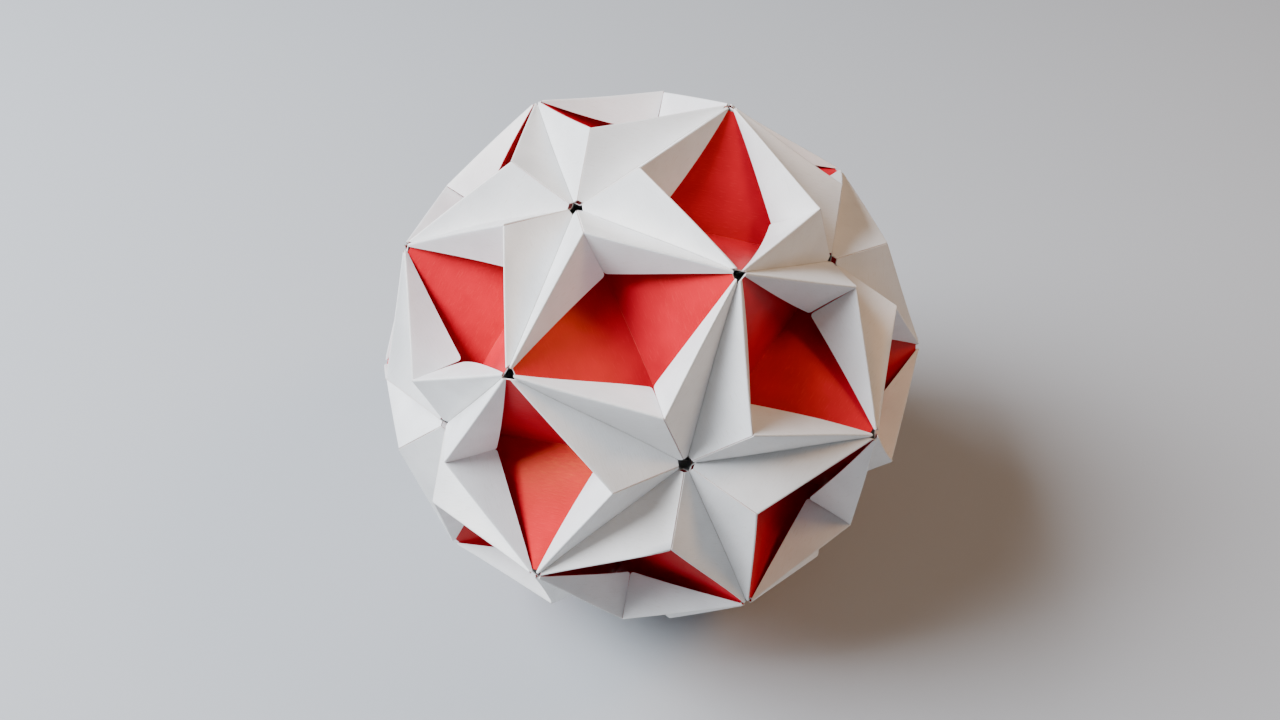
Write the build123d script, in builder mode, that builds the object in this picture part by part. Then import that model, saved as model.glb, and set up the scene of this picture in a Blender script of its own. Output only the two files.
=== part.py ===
"""Kusudama paper ball: thirty square cards, all folded alike, standing as a ball.

Each card is red on one face and white on the other. Its four corners are folded to
the middle over the red face, so four white flaps lie on a smaller red square. Every
flap is creased again, from a tip of that square to the flap's raw edge, which lifts it
into a white slope outside and a white wall inside, and the red square is creased along
one diagonal into a shallow valley. Thirty such units stand on the edges of an
icosahedron, fold against fold. Sizes are millimetres and degrees, and the ball stands
on its lowest points with its centre above the origin.
"""
import os
from math import cos, hypot, radians, sin, sqrt, tan

from build123d import *

# Driving dimensions
sheet_side = 70.0        # the square card before folding
card_thickness = 0.3
peak_run = 21.0          # along a raw edge, from a unit's long tip to the flap's crease
seam_gap = 0.2           # between the folds of two neighbouring units
ridge_slit = 0.2         # between the two raw edges that meet along a ridge
star_hole = 1.7          # centre to flat of the five-sided hole where five units meet
tip_hole = 1.2           # centre to flat of the three-sided hole where three units meet
heading = 33.0           # turn of the standing ball about Z

PHI = (1 + sqrt(5)) / 2
half_side = sheet_side / 2
half_card = card_thickness / 2
wall_run = half_side - peak_run
crease_run = hypot(half_side, wall_run)


def meet(centre_1, radius_1, centre_2, radius_2):
    """Where two circles in the XZ plane cross, on the left of centre 1 to centre 2."""
    span = centre_2 - centre_1
    along = (radius_1**2 - radius_2**2 + span.length**2) / (2 * span.length)
    across = sqrt(radius_1**2 - along**2)
    return centre_1 + span.normalized() * along + Vector(-span.Z, 0, span.X).normalized() * across


def red_normal(facet):
    """Unit normal on the red face of a facet, whose corners run round that face."""
    first, second, third = facet
    return (second - first).cross(third - first).normalized()


def half_turn(normal_1, normal_2):
    """Half the angle that a fold turns through, in radians, from its two normals."""
    return radians(normal_1.get_angle(normal_2)) / 2


# One unit lies along X with Z pointing out of the ball: long tips at the two ends of X,
# short tips at the two ends of Y. These corners of its -X +Y quarter are in the middle
# of the card's thickness, with the folds on the planes between neighbouring units.
middle = Vector(0, 0, PHI * half_side)
long_tip = Vector(-half_side, 0, PHI * half_side)
short_tip_radius = sheet_side * (PHI**2 / (2 * sqrt(3)) + 1 / sqrt(6))
short_tip = Vector(0, 1, PHI**2).normalized() * short_tip_radius
under_tip = Vector(0, 0, short_tip.Z)
peak = meet(long_tip, peak_run, under_tip, sqrt(crease_run**2 - short_tip.Y**2))
flap_corner = meet(under_tip, sqrt(half_side**2 - short_tip.Y**2), peak, wall_run)

floor = (long_tip, middle, short_tip)
slope = (long_tip, short_tip, peak)
wall = (peak, short_tip, flap_corner)
floor_normal, slope_normal, wall_normal = map(red_normal, (floor, slope, wall))

# The unit stands off from the planes between neighbours, so that the mitred white corner
# of each outer fold clears them by half the gap.
seam_plane_normal = Vector(1, -PHI, 1 / PHI).normalized()
fold_corner = (floor_normal + slope_normal) * (-half_card / (1 + floor_normal.dot(slope_normal)))
fold_inset = seam_gap / 2 - fold_corner.dot(seam_plane_normal)
lift = Vector(0, 0, fold_inset / seam_plane_normal.Z)

# What each edge moves in by on the red side and out by on the white side, for its mitre.
# The valley and the ridge both turn evenly about the unit's long middle plane.
long_middle = Vector(0, 1, 0)
valley_lean = radians(90 - floor_normal.get_angle(-long_middle))
ridge_lean = abs(radians(90 - slope_normal.get_angle(-long_middle)))
valley_mitre = half_card * tan(valley_lean)
outer_mitre = half_card * tan(half_turn(floor_normal, slope_normal))
crease_mitre = half_card * tan(half_turn(slope_normal, wall_normal))
raw_setback = ridge_slit / 2 / cos(ridge_lean) + half_card * tan(ridge_lean)


def moved_in(facet, shifts):
    """A facet's corners once its edges have moved inwards, each by its own shift."""
    corners = []
    for index, corner in enumerate(facet):
        ahead = (facet[(index + 1) % 3] - corner).normalized()
        behind = (facet[index - 1] - corner).normalized()
        slide = behind * shifts[index] + ahead * shifts[index - 1]
        corners.append(corner + slide / sin(radians(ahead.get_angle(behind))))
    return corners


def plate(facet, mitres, setbacks):
    """Draw both faces of one flat stretch of card and loft between them."""
    normal = red_normal(facet)
    faces = []
    for side in (1, -1):
        shifts = [side * mitre + setback for mitre, setback in zip(mitres, setbacks)]
        face_plane = Plane(
            origin=facet[0] + lift + normal * (side * half_card),
            x_dir=facet[1] - facet[0],
            z_dir=normal,
        )
        corners = [
            face_plane.to_local_coords(corner + lift + normal * (side * half_card))
            for corner in moved_in(facet, shifts)
        ]
        with BuildSketch(face_plane) as outline:
            with BuildLine():
                Polyline([(corner.X, corner.Y) for corner in corners], close=True)
            make_face()
        faces.append(outline.sketch)
    loft(sections=faces, ruled=True)


# The tips are blunt: each is cut square across, which leaves the small holes where the
# units meet.
star_axis = long_tip.normalized()
star_side = Vector(star_axis.Z, 0, -star_axis.X)
tip_axis = short_tip.normalized()
tip_side = Vector(0, -tip_axis.Z, tip_axis.Y)

with BuildPart() as unit:
    plate(floor, mitres=(valley_mitre, 0, outer_mitre), setbacks=(0, 0, 0))
    plate(slope, mitres=(outer_mitre, crease_mitre, 0), setbacks=(0, 0, raw_setback))
    plate(wall, mitres=(crease_mitre, 0, 0), setbacks=(0, 0, raw_setback))
    split(bisect_by=Plane(origin=star_side * star_hole, z_dir=star_side), keep=Keep.TOP)
    split(bisect_by=Plane(origin=tip_side * tip_hole, z_dir=tip_side), keep=Keep.TOP)
    mirror(about=Plane.YZ)
    mirror(about=Plane.XZ)


# The thirty units stand on the edges of an icosahedron. Its corners are the five-sided
# holes, and each unit's frame has X along its own edge and Z through the edge's middle.
star_spacing = 2         # an edge's length, with the corners that follow
decimals = 6             # kept where two lengths or heights are compared
stars = []
for long_step in (PHI, -PHI):
    for short_step in (1, -1):
        stars += [
            Vector(short_step, 0, long_step),
            Vector(0, long_step, short_step),
            Vector(long_step, short_step, 0),
        ]
edges = [
    (start, end)
    for index, start in enumerate(stars)
    for end in stars[index + 1:]
    if round((end - start).length, decimals) == star_spacing
]
edge_planes = [Plane((0, 0, 0), x_dir=end - start, z_dir=start + end) for start, end in edges]
corners = [Vector(*vertex) for vertex in unit.vertices()]
ball_corners = [plane.from_local_coords(corner) for plane in edge_planes for corner in corners]

# The ball stands on one blunt short tip and the two peaks beside it. Straight down lies
# between that tip's axis and the nearest star's, square to the line from peaks to tip,
# and a second pass picks the lowest points again once that direction is known.
foot_star = Vector(1, 0, PHI).normalized()
foot_tip = Vector(0, PHI, 2 * PHI + 1).normalized()
near_star = [corner for corner in ball_corners if corner.dot(foot_star) > corner.dot(foot_tip)]
near_tip = [corner for corner in ball_corners if corner.dot(foot_star) < corner.dot(foot_tip)]
down = foot_star + foot_tip
for _ in range(2):
    peak_foot = max(near_star, key=down.dot)
    tip_foot = max(near_tip, key=down.dot)
    down = foot_star.cross(foot_tip).cross(peak_foot - tip_foot).normalized()
up = -down
foot_depth = peak_foot.dot(down)
star_heading = (foot_star - up * foot_star.dot(up)).rotate(Axis((0, 0, 0), up), -heading)
ground = Plane(down * foot_depth, x_dir=star_heading, z_dir=up)


def stood(direction):
    """A direction of the icosahedron in the standing ball's frame."""
    return Vector(*(direction.dot(axis) for axis in (ground.x_dir, ground.y_dir, ground.z_dir)))


centre = Vector(0, 0, foot_depth)
places = [Plane(centre, x_dir=stood(end - start), z_dir=stood(start + end)) for start, end in edges]
places.sort(key=lambda plane: (-round(plane.z_dir.Z, decimals), plane.z_dir.Y, plane.z_dir.X))

os.makedirs("parts", exist_ok=True)
for number, place in enumerate(places, start=1):
    with BuildPart() as placed_unit:
        with Locations(place):
            add(unit.part)
    name = f"unit_{number:02d}"
    placed_unit.part.label = name
    export_step(placed_unit.part, f"parts/{name}.step")

print(f"units {len(places)}, centre height {foot_depth:.3f}, lift {lift.Z:.3f}")
print(f"unit volume {unit.part.volume:.1f}, valid {unit.part.is_valid}")
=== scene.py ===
"""Kusudama paper ball: thirty square cards, all folded alike, standing as a hollow ball.

Each card is red on one face and white on the other. Its corners are folded to the middle
over the red face, and every flap is creased again, so that it stands up as a white slope
outside and a white wall inside, above a red floor that dips along one diagonal.
Lengths are in millimetres until a mesh is written, which is in metres.
"""
from __future__ import annotations

import logging
from collections.abc import Iterable
from dataclasses import dataclass, field
from enum import IntEnum

import bpy
import numpy as np
from mathutils import Matrix, Vector


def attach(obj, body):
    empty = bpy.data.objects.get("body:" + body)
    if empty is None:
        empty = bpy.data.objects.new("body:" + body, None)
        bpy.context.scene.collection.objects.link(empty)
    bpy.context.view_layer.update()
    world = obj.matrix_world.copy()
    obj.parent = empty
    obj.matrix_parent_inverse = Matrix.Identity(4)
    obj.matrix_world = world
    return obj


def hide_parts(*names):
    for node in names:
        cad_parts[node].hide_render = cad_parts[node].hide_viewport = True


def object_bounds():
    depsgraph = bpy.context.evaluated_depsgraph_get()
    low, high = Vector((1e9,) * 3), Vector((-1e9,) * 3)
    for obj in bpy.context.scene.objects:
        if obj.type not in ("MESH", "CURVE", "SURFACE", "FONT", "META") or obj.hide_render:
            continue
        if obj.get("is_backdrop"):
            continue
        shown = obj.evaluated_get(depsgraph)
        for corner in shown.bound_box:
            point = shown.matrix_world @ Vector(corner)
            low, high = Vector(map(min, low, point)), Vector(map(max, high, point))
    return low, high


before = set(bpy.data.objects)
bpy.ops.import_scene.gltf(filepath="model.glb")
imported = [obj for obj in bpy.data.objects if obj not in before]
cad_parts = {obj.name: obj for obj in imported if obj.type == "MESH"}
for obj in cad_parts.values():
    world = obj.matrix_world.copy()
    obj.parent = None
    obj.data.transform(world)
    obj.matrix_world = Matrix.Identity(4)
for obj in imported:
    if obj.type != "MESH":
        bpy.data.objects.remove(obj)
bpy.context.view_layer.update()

LOG = logging.getLogger("kusudama")
Array = np.ndarray
MM = 0.001
PHI = (1 + 5**0.5) / 2
# The product of a triangle's three barycentric shares is at most 1 / 27, in its middle, and
# the product of two of them is at most 1 / 4, halfway along a side.
MID_FACET = 27
MID_SIDE = 4


class Side(IntEnum):
    """The three surfaces of a cut card, in the order of its material slots."""

    RED = 0
    WHITE = 1
    RAW_EDGE = 2


class Bend(IntEnum):
    """The ways in which a folded card strays from flat facets."""

    FLOOR_BOW = 0
    SLOPE_BOW = 1
    SLIT_OPENING = 2
    WALL_LEAN = 3
    EDGE_WAVE = 4
    CORNER_CURL = 5
    PEAK_RISE = 6
    PEAK_SHIFT = 7
    SEAM_OPENING = 8


def unit(vector: Array) -> Array:
    """Return the vector, or each row of an array of them, at length one."""
    return vector / np.linalg.norm(vector, axis=-1, keepdims=True)


def cut(point: Array, along: Array, normal: Array, offset: float) -> Array:
    """Find where lines meet a plane.

    A line is point + t * along, and the plane holds every p with p . normal = offset.

    Args:
        point: A point of each line, in an array of shape (..., 3).
        along: The direction of the lines.
        normal: The plane's unit normal.
        offset: The plane's distance from the origin along its normal.

    Returns:
        The crossing points, shaped like point.
    """
    travel = np.asarray((offset - point @ normal) / (along @ normal))
    return point + travel[..., None] * along


def meet(centre_1: Array, radius_1: float, centre_2: Array, radius_2: float) -> Array:
    """Find where two circles in the XZ plane cross, left of the way from centre 1 to 2.

    Args:
        centre_1: Centre of the first circle.
        radius_1: Its radius.
        centre_2: Centre of the second circle.
        radius_2: Its radius.

    Returns:
        The crossing point.
    """
    span = centre_2 - centre_1
    reach = np.linalg.norm(span)
    along = (radius_1**2 - radius_2**2 + reach**2) / (2 * reach)
    across = np.sqrt(radius_1**2 - along**2)
    return centre_1 + (span * along + np.array([-span[2], 0, span[0]]) * across) / reach


@dataclass(frozen=True)
class Facet:
    """A flat stretch of card between folds.

    Attributes:
        corners: Its three corners in space, running round its red face.
        flat: The same corners on the sheet before folding.
    """

    corners: Array
    flat: Array

    @property
    def normal(self) -> Array:
        """Unit normal on the red face."""
        first, second, third = self.corners
        return unit(np.cross(second - first, third - first))

    def inward(self, side: int) -> Array:
        """Unit vector in the facet, square to the side from that corner to the next."""
        run = self.corners[(side + 1) % 3] - self.corners[side]
        return unit(np.cross(self.normal, run))

    def shares(self, points: Array) -> Array:
        """Barycentric shares of the three corners at each point.

        Args:
            points: Points of the facet's plane, shape (n, 3).

        Returns:
            Shares that add up to one, shape (n, 3).
        """
        edges = (self.corners[1:] - self.corners[0]).T
        last_two = (points - self.corners[0]) @ np.linalg.pinv(edges).T
        return np.column_stack([1 - last_two.sum(axis=1), last_two])


@dataclass(frozen=True)
class Fold:
    """A fold line between two facets, rounded as thick card rounds.

    Attributes:
        point: A point of the line.
        own: Unit vector in the first facet, square to the line and away from it.
        other: The same in the second facet.
        reach: How far from the line the rounding starts, on each facet.
    """

    point: Array
    own: Array
    other: Array
    reach: float

    def rounding(self, points: Array) -> tuple[Array, Array]:
        """Shift that rounds the fold, and the nearness to it.

        With s the distance from the line, t = (1 - s / reach) / 2 runs to a half at the
        line, and the point moves onto the quadratic Bezier curve that leaves both facets
        at the distance reach and has the line as its control point:
        reach * ((1 - t)^2 own + t^2 other).

        Args:
            points: Points of the first facet, shape (n, 3).

        Returns:
            The shifts, shape (n, 3), and the nearness from 0 to 1, shape (n,).
        """
        distance = np.clip((points - self.point) @ self.own, 0, self.reach)
        t = ((1 - distance / self.reach) / 2)[:, None]
        curve = self.reach * ((1 - t) ** 2 * self.own + t**2 * self.other)
        return curve - distance[:, None] * self.own, 2 * t[:, 0]


@dataclass
class Sheet:
    """A surface without thickness, as arrays over its vertices.

    Attributes:
        points: Vertices, shape (n, 3).
        quads: Four vertex numbers to a face, running round the red side, shape (m, 4).
        flat: Each vertex's place on the unfolded card, shape (n, 2).
        fold_wear_and_shading: Nearness to a fold, which places the fold line of broken coat
        with painted highlight and shade, shape (n,).
        bends: Shift of each vertex for each of Bend's ways, shape (ways, n, 3).
    """

    points: Array
    quads: Array
    flat: Array
    fold_wear_and_shading: Array
    bends: Array


@dataclass(frozen=True)
class FoldedCard:
    """One card's folded shape, in the unit's own frame.

    X runs between the long tips, Y between the short tips, and Z points out of the ball,
    whose centre is the origin. The card is drawn as a grid of rows and columns on each
    facet. The columns are counted without the ones beside the folds.

    Attributes:
        sheet_side: Side of the square card before folding.
        thickness: The card's thickness.
        peak_run: Along a raw edge, from the long tip to the flap's crease.
        seam_gap: Between the rounded folds of two neighbouring cards.
        ridge_slit: Between the two raw edges that meet along a ridge.
        star_hole: Centre to flat of the five-sided hole where five long tips meet.
        tip_hole: Centre to flat of the three-sided hole where three short tips meet.
        fold_reach: How far the rounding of an outer fold or the valley reaches.
        crease_reach: How far the rounding of a flap's crease reaches.
        corner_radius: How far back a flap's softened corner starts.
        rows: Rows up to the valley's rounding, which adds two.
        notch_columns: Columns that end on the long tip's blunt cut.
        floor_columns: Columns that end on the valley.
        slope_columns: Columns that end on the slope's side of the ridge.
        wall_columns: Columns that end on the wall's side of the ridge.
        corner_columns: Columns that end on the flap's softened corner.
    """

    sheet_side: float = 70.0
    thickness: float = 0.3
    peak_run: float = 21.0
    seam_gap: float = 0.02
    ridge_slit: float = 0.01
    star_hole: float = 1.95
    tip_hole: float = 1.2
    fold_reach: float = 0.2
    crease_reach: float = 0.42
    corner_radius: float = 1.1
    rows: int = 22
    notch_columns: int = 2
    floor_columns: int = 11
    slope_columns: int = 9
    wall_columns: int = 6
    corner_columns: int = 6

    def key_points(self) -> dict[str, Array]:
        """Corners of the -X +Y quarter, in the middle of the card's thickness.

        Returns:
            The points by name: middle, long_tip, short_tip, peak and flap_corner.
        """
        half = self.sheet_side / 2
        wall_run = half - self.peak_run
        middle = np.array([0, 0, PHI * half])
        long_tip = np.array([-half, 0, PHI * half])
        tip_radius = self.sheet_side * (PHI**2 / (2 * 3**0.5) + 1 / 6**0.5)
        short_tip = unit(np.array([0, 1, PHI**2])) * tip_radius
        under_tip = np.array([0, 0, short_tip[2]])
        crease_reach = np.sqrt(half**2 + wall_run**2 - short_tip[1] ** 2)
        flap_reach = np.sqrt(half**2 - short_tip[1] ** 2)
        peak = meet(long_tip, self.peak_run, under_tip, crease_reach)
        flap_corner = meet(under_tip, flap_reach, peak, wall_run)
        points = {
            "middle": middle,
            "long_tip": long_tip,
            "short_tip": short_tip,
            "peak": peak,
            "flap_corner": flap_corner,
        }
        return {name: point + self.lift(points) for name, point in points.items()}

    def seam_normal(self) -> Array:
        """Unit normal of the plane between two neighbours, into the quarter."""
        return np.array([1, -PHI, 1 / PHI]) / 2

    def lift(self, points: dict[str, Array]) -> Array:
        """How far the unit moves out so that its rounded fold just clears the seam.

        The middle of the card ends half its thickness and half the gap from the seam
        plane, and the rounding has already drawn it in by a quarter of the two facets'
        reach.

        Args:
            points: The key points with their folds on the seam planes.

        Returns:
            The shift along Z.
        """
        floor = unit(np.cross(points["middle"] - points["long_tip"],
                              points["short_tip"] - points["long_tip"]))
        slope = unit(np.cross(points["short_tip"] - points["long_tip"],
                              points["peak"] - points["long_tip"]))
        # Square to the fold, the floor runs along one of these and the slope along the other.
        fold = unit(points["short_tip"] - points["long_tip"])
        inwards = -np.cross(floor, fold) + np.cross(slope, fold)
        rounding = self.fold_reach / 4 * inwards @ self.seam_normal()
        inset = (self.thickness + self.seam_gap) / 2 - rounding
        return np.array([0, 0, inset / self.seam_normal()[2]])

    def facets(self) -> tuple[Facet, Facet, Facet]:
        """Floor, slope and wall of the -X +Y quarter."""
        at = self.key_points()
        half = self.sheet_side / 2
        flat = {
            "middle": (0, 0),
            "long_tip": (-half, 0),
            "short_tip": (0, half),
            "peak": (-half, self.peak_run),
            "flap_corner": (-half, half),
        }
        names = (
            ("long_tip", "middle", "short_tip"),
            ("long_tip", "short_tip", "peak"),
            ("peak", "short_tip", "flap_corner"),
        )
        return tuple(
            Facet(np.array([at[n] for n in trio]), np.array([flat[n] for n in trio], float))
            for trio in names
        )

    def columns(self) -> tuple[tuple[Array, Array], ...]:
        """Where the columns of each facet's grid start and end.

        Every column is a straight line from the blunt short tip outwards. At a fold three
        columns run along it: on it, half the reach away and the whole reach away. The
        others fan out evenly to the rest of the facet's far side.

        Returns:
            For floor, slope and wall, the starts and the ends, each of shape (k, 3).
        """
        floor, slope, wall = self.facets()
        long_tip, middle, short_tip = floor.corners
        peak, flap_corner = slope.corners[2], wall.corners[2]
        # The holes' directions are those of the tips before the unit was lifted.
        lift = middle - (0, 0, PHI * self.sheet_side / 2)
        star_axis, tip_axis = unit(long_tip - lift), unit(short_tip - lift)
        star_side = np.array([star_axis[2], 0, -star_axis[0]])
        tip_side = np.array([0, -tip_axis[2], tip_axis[1]])
        lean = np.arcsin(abs(slope.normal[1]))
        ridge_offset = self.ridge_slit / 2 + self.thickness / 2 * np.sin(lean)
        across = np.array([0, 1, 0])
        steps = np.array([0, 0.5, 1])[:, None]
        beside, beside_crease = steps * self.fold_reach, steps * self.crease_reach

        def to_tip(point: Array, along: Array) -> Array:
            """Where lines reach the blunt short tip."""
            return cut(point, along, tip_side, self.tip_hole)

        def to_star(point: Array, along: Array) -> Array:
            """Where lines reach the blunt long tip."""
            return cut(point, along, star_side, self.star_hole)

        def to_ridge(point: Array, along: Array) -> Array:
            """Where lines reach the raw edges that meet along the ridge."""
            return cut(point, along, across, ridge_offset)

        def spread(first: Array, last: Array, count: int) -> Array:
            """Points between first and last, without first."""
            return first + np.linspace(0, 1, count + 1)[1:, None] * (last - first)

        fold_run, crease_run = long_tip - short_tip, peak - short_tip
        # Floor: beside the outer fold, round the cut at the long tip, then to the middle.
        lines = short_tip + beside * floor.inward(2)
        near_start, near_end = to_tip(lines, fold_run), to_star(lines, fold_run)
        notch = to_star(long_tip, middle - long_tip)
        floor_ends = np.vstack([
            near_end,
            spread(near_end[-1], notch, self.notch_columns),
            spread(notch, middle, self.floor_columns),
        ])
        floor_start = to_tip(short_tip, middle - short_tip)
        fan = self.notch_columns + self.floor_columns
        floor_starts = np.vstack([near_start, spread(near_start[-1], floor_start, fan)])
        # Slope: beside the outer fold, along the ridge, then beside the crease.
        lines = short_tip + beside * slope.inward(0)
        near_start, near_end = to_tip(lines, fold_run), to_star(lines, fold_run)
        lines = short_tip + beside_crease[::-1] * slope.inward(1)
        far_start, far_end = to_tip(lines, crease_run), to_ridge(lines, crease_run)
        notch = to_star(far_end[-1], long_tip - peak)
        slope_ends = np.vstack([
            near_end,
            spread(near_end[-1], notch, self.notch_columns),
            spread(notch, far_end[0], self.slope_columns),
            far_end[1:],
        ])
        fan = self.notch_columns + self.slope_columns
        slope_starts = np.vstack([
            near_start, spread(near_start[-1], far_start[0], fan), far_start[1:]])
        # Wall: beside the crease, along the ridge, then round the flap's softened corner.
        lines = short_tip + beside_crease * wall.inward(0)
        near_start, near_end = to_tip(lines, crease_run), to_ridge(lines, crease_run)
        free_run = flap_corner - short_tip
        sharp = to_ridge(short_tip, free_run)
        back, down = unit(peak - flap_corner), -unit(free_run)
        t = np.linspace(0, 1, self.corner_columns + 1)[:, None]
        arc = sharp + self.corner_radius * ((1 - t) ** 2 * back + t**2 * down)
        wall_ends = np.vstack([
            near_end, spread(near_end[-1], arc[0], self.wall_columns), arc[1:]])
        wall_start = to_tip(short_tip, free_run)
        fan = self.wall_columns + self.corner_columns
        wall_starts = np.vstack([near_start, spread(near_start[-1], wall_start, fan)])
        return (floor_starts, floor_ends), (slope_starts, slope_ends), (wall_starts, wall_ends)

    def quarter(self) -> Sheet:
        """Build the -X +Y quarter with rounded folds and its bends."""
        floor, slope, wall = self.facets()
        reach = self.fold_reach
        other_half = floor.inward(0) * (1, -1, 1)
        valley = Fold(floor.corners[0], floor.inward(0), other_half, reach)
        creases_of = (
            (valley, Fold(floor.corners[0], floor.inward(2), slope.inward(0), reach)),
            (Fold(slope.corners[0], slope.inward(0), floor.inward(2), reach),
             Fold(slope.corners[1], slope.inward(1), wall.inward(0), self.crease_reach)),
            (Fold(wall.corners[0], wall.inward(0), slope.inward(1), self.crease_reach),),
        )
        columns = self.columns()
        depth = (columns[0][0][-1] - floor.corners[0]) @ floor.inward(0)
        u = np.append(np.linspace(0, 1 - reach / depth, self.rows), (1 - reach / depth / 2, 1))
        points, quads, flat, fold_wear_and_shading, bends = [], [], [], [], []
        total = 0
        sections = zip((floor, slope, wall), creases_of, columns)
        for facet, creases, (starts, ends) in sections:
            grid = (starts + u[:, None, None] * (ends - starts)).reshape(-1, 3)
            shares = facet.shares(grid)
            shifts, nearness = zip(*(crease.rounding(grid) for crease in creases))
            points.append(grid + sum(shifts))
            flat.append(shares @ facet.flat)
            fold_wear_and_shading.append(np.max(nearness, axis=0))
            bends.append(self.bent(facet, shares, grid))
            wide = len(starts)
            number = np.arange(len(u) * wide).reshape(len(u), wide)
            cells = np.stack([number[:-1, :-1], number[:-1, 1:],
                              number[1:, 1:], number[1:, :-1]], axis=-1).reshape(-1, 4)
            faced = self.facing(grid, cells[len(cells) // 2], facet.normal)
            quads.append((cells if faced else cells[:, ::-1]) + total)
            total += len(grid)
        return Sheet(np.vstack(points), np.vstack(quads), np.vstack(flat),
                     np.concatenate(fold_wear_and_shading), np.concatenate(bends, axis=1))

    @staticmethod
    def facing(grid: Array, quad: Array, normal: Array) -> bool:
        """Whether a quad's corners run round the side that the normal points to."""
        a, b, c = grid[quad[:3]]
        return float(np.cross(b - a, c - b) @ normal) > 0

    def bent(self, facet: Facet, shares: Array, grid: Array) -> Array:
        """Shift of each vertex for one millimetre of each bend.

        Args:
            facet: The facet that the vertices belong to.
            shares: Their barycentric shares.
            grid: Their places before bending.

        Returns:
            Shifts, shape (ways, n, 3).
        """
        floor, slope, _ = self.facets()
        ways = np.zeros((len(Bend), len(grid), 3))
        first, second, third = shares.T[:, :, None]
        along, across, outward = np.eye(3)
        if np.allclose(facet.normal, floor.normal):
            # The floor's half is the triangle of both long tips and the short tip.
            left, right = first + second / 2, second / 2
            ways[Bend.FLOOR_BOW] = MID_FACET * left * right * third * facet.normal
            ways[Bend.SEAM_OPENING] = MID_SIDE * first * third * self.seam_normal()
        elif np.allclose(facet.normal, slope.normal):
            ways[Bend.SLOPE_BOW] = MID_FACET * first * second * third * facet.normal
            ways[Bend.SLIT_OPENING] = MID_SIDE * first * third * across
            ways[Bend.SEAM_OPENING] = MID_SIDE * first * second * self.seam_normal()
            ways[Bend.PEAK_RISE] = third**2 * outward
            ways[Bend.PEAK_SHIFT] = third**2 * along
        else:
            ways[Bend.SLIT_OPENING] = third * across
            ways[Bend.WALL_LEAN] = third * facet.normal
            ways[Bend.EDGE_WAVE] = MID_SIDE * second * third * facet.normal
            ways[Bend.CORNER_CURL] = third**3 * facet.normal
            ways[Bend.PEAK_RISE] = first**2 * outward
            ways[Bend.PEAK_SHIFT] = first**2 * along
        return ways


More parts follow.
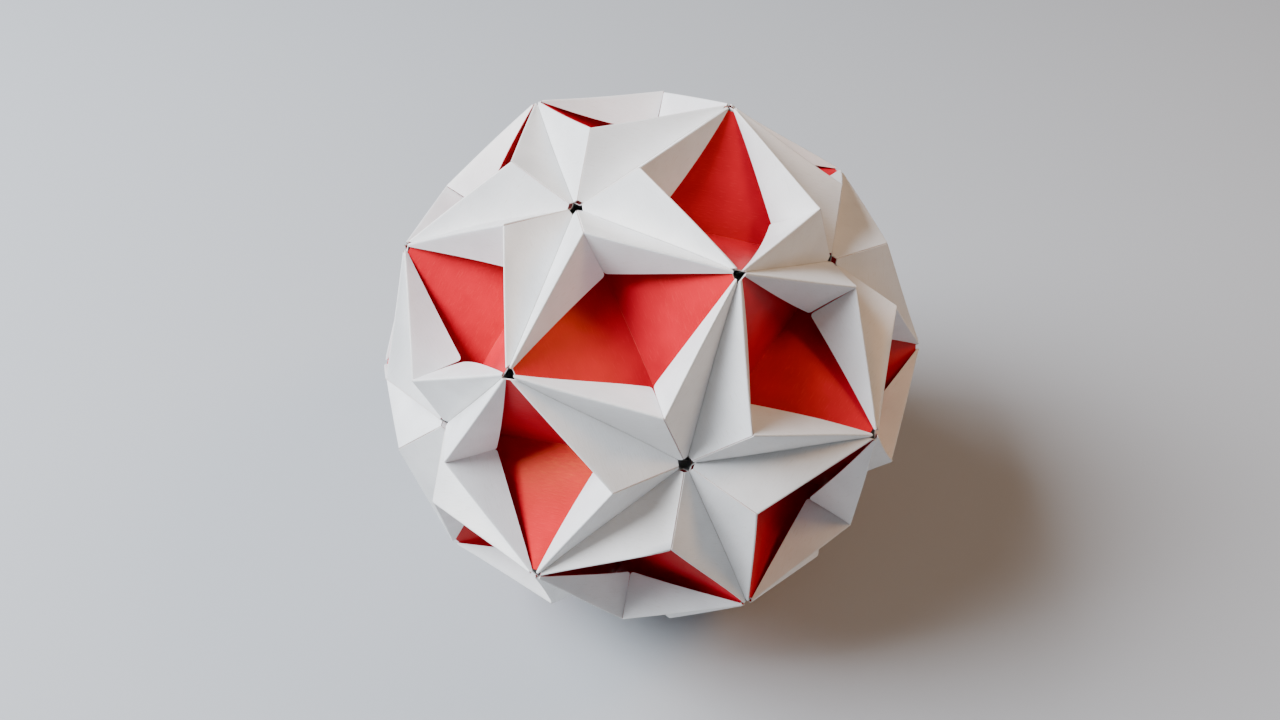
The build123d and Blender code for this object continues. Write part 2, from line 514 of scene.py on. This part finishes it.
@dataclass
class CardMaker:
    """Joins four quarters into a card and gives it its own bends and its thickness.

    Attributes:
        shape: The folded shape that every card shares.
        reach_of: Largest amount of each bend, in millimetres, in Bend's order. The seams
            are held shut, so the last is nothing.
        weld: How many parts of a millimetre two vertices have to agree to, to be one.
        mirrors: Signs of the axes for each quarter, in turn round the card.
        quarter: The quarter that all four are made from.
        kept: Which of the four quarters' vertices the card keeps.
        quads: Four numbers of kept vertices to a face.
        flat: Each kept vertex's place on the unfolded card.
        fold_wear_and_shading: Each kept vertex's nearness to a fold, which places the fold
        line of broken coat with painted highlight and shade.
    """

    shape: FoldedCard = field(default_factory=FoldedCard)
    reach_of: tuple[float, ...] = (1.0, 0.9, 0.03, 0.7, 0.9, 1.1, 0.25, 0.25, 0.0)
    weld: float = 1e4
    mirrors: Array = field(init=False)
    quarter: Sheet = field(init=False)
    kept: Array = field(init=False)
    quads: Array = field(init=False)
    flat: Array = field(init=False)
    fold_wear_and_shading: Array = field(init=False)

    def __post_init__(self) -> None:
        """Mirror the quarter twice and weld what coincides."""
        self.mirrors = np.array([(1, 1, 1), (-1, 1, 1), (-1, -1, 1), (1, -1, 1)])
        self.quarter = quarter = self.shape.quarter()
        count = len(quarter.points)
        points = np.concatenate([quarter.points * mirror for mirror in self.mirrors])
        steps = np.rint(points * self.weld).astype(np.int64)
        _, self.kept, merged = np.unique(
            steps, axis=0, return_index=True, return_inverse=True)
        # One mirror turns the faces round, and two turn them back.
        quads = np.concatenate([
            (quarter.quads if mirror.prod() > 0 else quarter.quads[:, ::-1]) + count * turn
            for turn, mirror in enumerate(self.mirrors)])
        self.quads = merged.reshape(-1)[quads]
        flat = np.concatenate([quarter.flat * mirror[:2] for mirror in self.mirrors])
        self.flat = flat[self.kept]
        self.fold_wear_and_shading = np.tile(quarter.fold_wear_and_shading, len(self.mirrors))[self.kept]

    def amounts(self, random: np.random.Generator) -> Array:
        """Draw one card's bends.

        Args:
            random: The seeded source of chance.

        Returns:
            Amounts in millimetres, shape (4 quarters, ways).
        """
        drawn = random.uniform(-1, 1, (len(self.mirrors), len(Bend))) * self.reach_of
        opening = [Bend.SLIT_OPENING, Bend.SEAM_OPENING]
        drawn[:, opening] = abs(drawn[:, opening])
        # The two quarters of a floor half bow together, because no fold parts them.
        drawn[1::2, Bend.FLOOR_BOW] = drawn[::2, Bend.FLOOR_BOW]
        return drawn

    def surface(self, random: np.random.Generator) -> Array:
        """Middle surface of one card with its own bends, shape (n, 3)."""
        shifts = np.tensordot(self.amounts(random), self.quarter.bends, axes=1)
        moved = (self.quarter.points + shifts) * self.mirrors[:, None, :]
        return moved.reshape(-1, 3)[self.kept]

    def thickened(self, middle: Array) -> tuple[Array, Array, Array]:
        """Give the surface the card's thickness.

        Each vertex moves half the thickness to both sides along its normal, which is the
        sum of the normals of the faces around it, at length one. Edges that belong to a
        single quad get a strip of raw edge between the two sides.

        Args:
            middle: The middle surface, shape (n, 3).

        Returns:
            Vertices (2 n, 3), faces (m, 4) and the Side of each face (m,).
        """
        a, b, c, d = middle[self.quads.T]
        face_normals = np.cross(c - a, d - b)
        normals = np.zeros_like(middle)
        np.add.at(normals, self.quads.reshape(-1), np.repeat(face_normals, 4, axis=0))
        offset = unit(normals) * self.shape.thickness / 2
        count = len(middle)
        start, end = self.quads, np.roll(self.quads, -1, axis=1)
        outgoing = (start * count + end).reshape(-1)
        returning = (end * count + start).reshape(-1)
        rim = ~np.isin(outgoing, returning)
        start, end = start.reshape(-1)[rim], end.reshape(-1)[rim]
        strip = np.column_stack([end, start, start + count, end + count])
        faces = np.vstack([self.quads, self.quads[:, ::-1] + count, strip])
        sides = np.repeat([Side.RED, Side.WHITE, Side.RAW_EDGE],
                          [len(self.quads), len(self.quads), len(strip)])
        return np.vstack([middle + offset, middle - offset]), faces, sides


@dataclass(frozen=True)
class HandWarp:
    """The unevenness of a ball joined by hand, the same for neighbouring cards.

    A point p moves by the sum of direction_k * amount * sin(wave_k . p + phase_k).

    Attributes:
        amount: Size of each wave, in millimetres.
        shortest: Shortest wavelength, in millimetres.
        longest: Longest wavelength, in millimetres.
        waves: Number of waves.
        seed: Seed of the random draws.
    """

    amount: float = 0.2
    shortest: float = 38.0
    longest: float = 90.0
    waves: int = 7
    seed: int = 11

    def moved(self, points: Array) -> Array:
        """The points after the warp, shape (n, 3)."""
        random = np.random.default_rng(self.seed)
        directions = unit(random.normal(size=(self.waves, 3)))
        lengths = random.uniform(self.shortest, self.longest, (self.waves, 1))
        wave = unit(random.normal(size=(self.waves, 3))) * 2 * np.pi / lengths
        phase = random.uniform(0, 2 * np.pi, self.waves)
        return points + self.amount * np.sin(points @ wave.T + phase) @ directions


def linear(code: str) -> tuple[float, float, float, float]:
    """Turn an sRGB hex code into the linear colour that a shader takes.

    Args:
        code: Six hex digits after a #.

    Returns:
        Red, green, blue and an alpha of one.
    """
    # The numbers are the sRGB curve's own.
    values = np.array([int(code[i:i + 2], 16) for i in (1, 3, 5)]) / 255
    bent = np.where(values <= 0.04045, values / 12.92, ((values + 0.055) / 1.055) ** 2.4)
    return (*bent.tolist(), 1.0)


def add_node(tree: bpy.types.NodeTree, kind: str, **settings: object) -> bpy.types.Node:
    """Add a node with its settings and links.

    Args:
        tree: The material's node tree.
        kind: The node's type.
        settings: A property's value by its name, or a socket's by its name with spaces
            written as underscores. A socket given as the value is linked.

    Returns:
        The new node.
    """
    node = tree.nodes.new(kind)
    for name, value in settings.items():
        if hasattr(node, name):
            setattr(node, name, value)
            continue
        key = name.replace("_", " ").strip()
        key = int(key[2:]) if key.startswith("at") and key[2:].isdigit() else key
        if isinstance(value, bpy.types.NodeSocket):
            tree.links.new(value, node.inputs[key])
        else:
            node.inputs[key].default_value = value
    return node


@dataclass(frozen=True)
class CardFace:
    """Satin-coated craft card: wood-pulp board with a thin clay coat, rolled smooth.

    The coat gives a soft, wide highlight, and the pulp under it shows as short fibres all
    lying one way, with slow clouds of thicker and thinner stock. Along each fold a fine
    line of the fold colour is painted: the coat broken there, and with it painted light,
    a painted highlight on the red face and painted shade on the white one. The fibres and
    clouds are noise from 0 to 1, and the spans below are stretches of it.

    Attributes:
        name: The material's name.
        bright: Colour of the thick places of the stock.
        dull: Colour of the thin places.
        fibre: Colour of the fibres that show through.
        fold_wear_and_shading: Colour painted along a fold: the broken coat there, and with it
        a painted highlight where it is paler than the face and painted shade where darker.
        roughness: Roughness of the coat away from the fibres.
        gloss: Weight of the clay coat's own reflection.
        shine: Specular level of the pearl pigment in the coat.
        glint: Tint that the pearl pigment gives to reflections.
        fibre_length: Length of a fibre bundle, in millimetres.
        fibre_width: Width of a fibre bundle, drawn three times too wide so that it shows.
        cloud: Size of a cloud in the stock, in millimetres.
        relief: Height of the fibres, in millimetres.
        relief_strength: How much of that height the surface shows.
        cloud_span: Cloud noise from the thin places to the thick ones.
        fibre_span: Fibre noise over which a fibre shows through.
        fibre_weight: How strongly it then shows.
        fold_wear_and_shading_span: Nearness to a fold, times fibre noise, over which the
            painted fold line shows.
        fold_wear_and_shading_weight: How strongly the painted fold line, broken coat with
            painted highlight and shade, then shows.
        rough_span: Fibre noise over which the roughness rises.
        smoother: By how much the smoothest places lie below the roughness.
        rougher: By how much the roughest places lie above it.
        ior: Refractive index of the coat.
        coat_roughness: Roughness of the clay coat's own reflection.
    """

    name: str
    bright: str
    dull: str
    fibre: str
    fold_wear_and_shading: str
    roughness: float = 0.4
    gloss: float = 0.06
    shine: float = 0.5
    glint: str = "#FFE9C4"
    fibre_length: float = 2.6
    fibre_width: float = 0.42
    cloud: float = 11.0
    relief: float = 0.03
    relief_strength: float = 0.6
    cloud_span: tuple[float, float] = (0.3, 0.7)
    fibre_span: tuple[float, float] = (0.56, 0.8)
    fibre_weight: float = 0.55
    fold_wear_and_shading_span: tuple[float, float] = (0.2, 0.6)
    fold_wear_and_shading_weight: float = 0.7
    rough_span: tuple[float, float] = (0.3, 0.75)
    smoother: float = 0.07
    rougher: float = 0.12
    ior: float = 1.5
    coat_roughness: float = 0.3

    def make(self, sheet_side: float) -> bpy.types.Material:
        """Build the material.

        Args:
            sheet_side: Side of the card, which the UV map's unit square stands for.

        Returns:
            The material.
        """
        material = bpy.data.materials.new(self.name)
        material.use_nodes = True
        tree = material.node_tree
        shader = tree.nodes["Principled BSDF"]
        sheet = add_node(tree, "ShaderNodeUVMap", uv_map="Sheet").outputs["UV"]
        run = (sheet_side / self.fibre_length, sheet_side / self.fibre_width, 1)
        fibre_run = add_node(tree, "ShaderNodeMapping", Vector=sheet, Scale=run)
        fibres = add_node(tree, "ShaderNodeTexNoise", Vector=fibre_run.outputs[0],
                          Scale=1.0, Detail=3.0, Roughness=0.6)
        clouds = add_node(tree, "ShaderNodeTexNoise", Vector=sheet,
                          Scale=sheet_side / self.cloud, Detail=2.0)
        stock = add_node(tree, "ShaderNodeValToRGB", Fac=clouds.outputs[0])
        self.shade(stock, zip(self.cloud_span, (self.dull, self.bright)))
        streak = add_node(tree, "ShaderNodeMapRange", Value=fibres.outputs[0],
                          From_Min=self.fibre_span[0], From_Max=self.fibre_span[1],
                          To_Min=0.0, To_Max=self.fibre_weight)
        laid = add_node(tree, "ShaderNodeMix", data_type="RGBA", at0=streak.outputs[0],
                        at6=stock.outputs[0], at7=linear(self.fibre))
        # Near a fold, broken up by the fibres, the colour is mixed toward the fold colour:
        # broken coat there, with a painted highlight on the red face and painted shade on the
        # white one.
        nearness = add_node(tree, "ShaderNodeAttribute", attribute_name="FoldWearAndShading")
        painted_fold_line_mask = add_node(tree, "ShaderNodeMath", operation="MULTIPLY",
                          at0=nearness.outputs["Fac"], at1=fibres.outputs[0])
        fold_wear_and_shading = add_node(tree, "ShaderNodeMapRange", Value=painted_fold_line_mask.outputs[0],
                        From_Min=self.fold_wear_and_shading_span[0], From_Max=self.fold_wear_and_shading_span[1],
                        To_Min=0.0, To_Max=self.fold_wear_and_shading_weight)
        colour = add_node(tree, "ShaderNodeMix", data_type="RGBA", at0=fold_wear_and_shading.outputs[0],
                          at6=laid.outputs[2], at7=linear(self.fold_wear_and_shading))
        rough = add_node(tree, "ShaderNodeMapRange", Value=fibres.outputs[0],
                         From_Min=self.rough_span[0], From_Max=self.rough_span[1],
                         To_Min=self.roughness - self.smoother,
                         To_Max=self.roughness + self.rougher)
        bump = add_node(tree, "ShaderNodeBump", Height=fibres.outputs[0],
                        Strength=self.relief_strength, Distance=self.relief * MM)
        tree.links.new(colour.outputs[2], shader.inputs["Base Color"])
        tree.links.new(rough.outputs[0], shader.inputs["Roughness"])
        tree.links.new(bump.outputs[0], shader.inputs["Normal"])
        shader.inputs["IOR"].default_value = self.ior
        shader.inputs["Specular IOR Level"].default_value = self.shine
        shader.inputs["Specular Tint"].default_value = linear(self.glint)
        shader.inputs["Coat Weight"].default_value = self.gloss
        shader.inputs["Coat Roughness"].default_value = self.coat_roughness
        return material

    @staticmethod
    def shade(ramp: bpy.types.Node, stops: Iterable[tuple[float, str]]) -> None:
        """Set the places and colours of a colour ramp's two stops."""
        for element, (place, code) in zip(ramp.color_ramp.elements, stops):
            element.position, element.color = place, linear(code)


# The fourth colour of each face is painted along the folds. On the red face it is paler, a
# painted highlight on the fold as well as broken coat. On the white face it is darker, painted
# shade in the fold as well as broken coat.
RED_FACE = CardFace("coated_card_red", "#DC0D2E", "#C80828", "#EA3640", "#EC6A5C",
                    shine=0.45, gloss=0.02, glint="#FF9A3C", relief=0.07)
WHITE_FACE = CardFace("coated_card_white", "#F5F6F6", "#EAEBEB", "#DAD6CE", "#D9D3CC",
                      relief=0.06)
# The guillotined edge shows the uncoated core, pale with red ground into it.
RAW_FACE = CardFace("cut_card_edge", "#F4F1EE", "#EAE2DE", "#FFFFFF", "#EFE6E2",
                    roughness=0.8, gloss=0.0, shine=0.2)


@dataclass
class Ball:
    """The thirty cards, each in the place of its own node.

    Attributes:
        maker: Makes the cards' shapes.
        warp: The unevenness that all cards share.
        seed: Seed of the cards' own bends.
        parent_side: Side of the big sheet that the cards are cut from, in card sides.
    """

    maker: CardMaker = field(default_factory=CardMaker)
    warp: HandWarp = field(default_factory=HandWarp)
    seed: int = 5
    parent_side: float = 8

    @staticmethod
    def axes(corners: Array) -> Array:
        """Find a unit's axes from its node's corners.

        The unit is symmetric about two planes through its outward axis, so its long axis
        is the direction in which its corners spread the most, square to the outward one.

        Args:
            corners: The corners, taken from the ball's centre, shape (n, 3).

        Returns:
            Rows for X, Y and Z, shape (3, 3).
        """
        outward = unit(corners.mean(axis=0))
        spread = corners - np.outer(corners @ outward, outward)
        long_axis = np.linalg.svd(spread, full_matrices=False)[2][0]
        return np.array([long_axis, np.cross(outward, long_axis), outward])

    def fit(self, corners: Array) -> float:
        """How much further than the drawn card a node's corners reach from the centre."""
        middle = np.linalg.norm(self.maker.quarter.points, axis=1).max()
        drawn = middle + self.maker.shape.thickness / 2
        return np.linalg.norm(corners, axis=1).max() / drawn

    @staticmethod
    def corners(node: bpy.types.Object) -> Array:
        """A node's corners in millimetres, each once, shape (n, 3)."""
        raw = np.empty(len(node.data.vertices) * 3, np.float32)
        node.data.vertices.foreach_get("co", raw)
        return np.unique(np.round(raw.reshape(-1, 3).astype(float) / MM, 3), axis=0)

    def build(self) -> None:
        """Build every card, dress it and put it in its node's stead."""
        finishes = (RED_FACE, WHITE_FACE, RAW_FACE)
        materials = [finish.make(self.maker.shape.sheet_side) for finish in finishes]
        low, high = (np.array(corner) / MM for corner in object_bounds())
        centre = (low + high) / 2
        random = np.random.default_rng(self.seed)
        for name in sorted(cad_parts):
            corners = self.corners(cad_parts[name]) - centre
            vertices, faces, sides = self.maker.thickened(self.maker.surface(random))
            placed = vertices * self.fit(corners) @ self.axes(corners) + centre
            # The warp is kept from carrying a card past the solid ball's own box.
            placed = np.clip(self.warp.moved(placed), low, high)
            shift = random.uniform(0, self.parent_side, 2)
            card = self.mesh(name.replace("unit", "card"), placed, faces, sides, shift)
            for material in materials:
                card.data.materials.append(material)
            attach(card, "root")
            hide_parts(name)
            LOG.info("%s stands for %s with %d faces", card.name, name, len(faces))

    def mesh(self, name: str, vertices: Array, faces: Array, sides: Array,
             shift: Array) -> bpy.types.Object:
        """Write one card's mesh.

        Args:
            name: The piece's name.
            vertices: Vertices in millimetres, shape (n, 3).
            faces: Four vertex numbers to a face, shape (m, 4).
            sides: The Side of each face, shape (m,).
            shift: Where on its parent sheet the card was cut, in card sides.

        Returns:
            The new object.
        """
        data = bpy.data.meshes.new(name)
        data.vertices.add(len(vertices))
        data.vertices.foreach_set("co", (vertices * MM).astype(np.float32).reshape(-1))
        data.loops.add(faces.size)
        data.loops.foreach_set("vertex_index", faces.reshape(-1).astype(np.int32))
        data.polygons.add(len(faces))
        data.polygons.foreach_set("loop_start", np.arange(0, faces.size, 4, dtype=np.int32))
        data.polygons.foreach_set("material_index", sides.astype(np.int32))
        data.polygons.foreach_set("use_smooth", sides != Side.RAW_EDGE)
        data.update(calc_edges=True)
        data.validate()
        flat = np.tile(self.maker.flat / self.maker.shape.sheet_side + 0.5 + shift, (2, 1))
        layer = data.uv_layers.new(name="Sheet")
        layer.uv.foreach_set("vector", flat[faces.reshape(-1)].astype(np.float32).reshape(-1))
        # Nearness to a fold, which places the painted fold line of broken coat, highlight and
        # shade.
        fold_wear_and_shading = data.attributes.new("FoldWearAndShading", "FLOAT", "POINT")
        fold_wear_and_shading.data.foreach_set("value", np.tile(self.maker.fold_wear_and_shading, 2).astype(np.float32))
        self.sharpen(data, faces[sides == Side.RAW_EDGE], len(vertices))
        card = bpy.data.objects.new(name, data)
        bpy.context.scene.collection.objects.link(card)
        return card

    @staticmethod
    def sharpen(data: bpy.types.Mesh, strip: Array, count: int) -> None:
        """Mark the edges between the raw strip and the card's two faces as sharp.

        Args:
            data: The mesh.
            strip: Its raw-edge faces, shape (k, 4).
            count: The number of its vertices.
        """
        pairs = np.empty(len(data.edges) * 2, np.int32)
        data.edges.foreach_get("vertices", pairs)
        pairs = np.sort(pairs.reshape(-1, 2), axis=1).astype(np.int64)
        long_sides = np.sort(np.vstack([strip[:, :2], strip[:, 2:]]), axis=1).astype(np.int64)
        sharp = np.isin(pairs @ (count, 1), long_sides @ (count, 1))
        layer = data.attributes.new("sharp_edge", "BOOLEAN", "EDGE")
        layer.data.foreach_set("value", sharp)


@dataclass(frozen=True)
class Lamp:
    """A soft box.

    Attributes:
        name: Its name.
        place: Where it hangs, in metres.
        size: Side of its square, in metres.
        power: In watts.
        colour: sRGB hex code of its light.
    """

    name: str
    place: tuple[float, float, float]
    size: float
    power: float
    colour: str

    def hang(self, target: Vector) -> None:
        """Hang the lamp and point it at the target."""
        data = bpy.data.lights.new(self.name, "AREA")
        data.size, data.energy, data.color = self.size, self.power, linear(self.colour)[:3]
        lamp = bpy.data.objects.new(self.name, data)
        lamp.location = self.place
        lamp.rotation_euler = (target - lamp.location).to_track_quat("-Z", "Y").to_euler()
        bpy.context.scene.collection.objects.link(lamp)


@dataclass
class Studio:
    """Pale floor, soft lamps and camera.

    Attributes:
        camera_place: The camera's place, in metres.
        dip: How far the camera looks down, in degrees.
        roll: How far it is rolled clockwise, in degrees.
        lens: Its focal length, in millimetres.
        sensor: Its sensor's width, in millimetres.
        floor_side: Side of the floor, in metres.
        floor_colour: sRGB hex code of the floor.
        floor_roughness: The floor's roughness.
        surround_colour: sRGB hex code of the light from all round.
        surround_strength: Its strength.
        lamps: The soft boxes.
    """

    camera_place: tuple[float, float, float] = (-0.0022, -0.2301, 0.2998)
    dip: float = 44.16
    roll: float = 0.95
    lens: float = 29.07
    sensor: float = 36.0
    floor_side: float = 4.0
    floor_colour: str = "#B0B4B8"
    floor_roughness: float = 0.9
    surround_colour: str = "#E8EEF6"
    surround_strength: float = 0.14
    lamps: tuple[Lamp, ...] = (
        Lamp("window", (-0.92, -0.04, 0.98), 0.8, 51.0, "#F4F8FF"),
        Lamp("warm_lamp", (0.75, 0.02, 0.88), 0.3, 4.2, "#FFC890"),
    )

    def floor(self) -> None:
        """Lay the pale matt floor."""
        half = self.floor_side / 2
        data = bpy.data.meshes.new("floor")
        corners = [(-half, -half, 0), (half, -half, 0), (half, half, 0), (-half, half, 0)]
        data.from_pydata(corners, [], [(0, 1, 2, 3)])
        floor = bpy.data.objects.new("floor", data)
        bpy.context.scene.collection.objects.link(floor)
        material = bpy.data.materials.new("matt_studio_paper")
        material.use_nodes = True
        shader = material.node_tree.nodes["Principled BSDF"]
        shader.inputs["Base Color"].default_value = linear(self.floor_colour)
        shader.inputs["Roughness"].default_value = self.floor_roughness
        data.materials.append(material)
        floor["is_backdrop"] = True

    def light(self, target: Vector) -> None:
        """Light the ball from soft boxes and an even pale surround."""
        world = bpy.data.worlds.new("surround")
        world.use_nodes = True
        background = world.node_tree.nodes["Background"]
        background.inputs["Color"].default_value = linear(self.surround_colour)
        background.inputs["Strength"].default_value = self.surround_strength
        bpy.context.scene.world = world
        for lamp in self.lamps:
            lamp.hang(target)

    def camera(self) -> None:
        """Place the camera above the front, looking down at the ball."""
        data = bpy.data.cameras.new("camera")
        data.lens, data.sensor_width = self.lens, self.sensor
        camera = bpy.data.objects.new("camera", data)
        tilt = Matrix.Rotation(np.radians(90 - self.dip), 4, "X")
        roll = Matrix.Rotation(np.radians(-self.roll), 4, "Z")
        camera.matrix_world = Matrix.Translation(self.camera_place) @ tilt @ roll
        bpy.context.scene.collection.objects.link(camera)
        bpy.context.scene.camera = camera

    def build(self) -> None:
        """Set up floor, light and camera."""
        low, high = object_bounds()
        self.floor()
        self.light((low + high) / 2)
        self.camera()


def main() -> None:
    """Build the ball and its studio."""
    logging.basicConfig(level=logging.INFO, format="%(name)s: %(message)s")
    Ball().build()
    Studio().build()


if __name__ == "__main__":
    main()
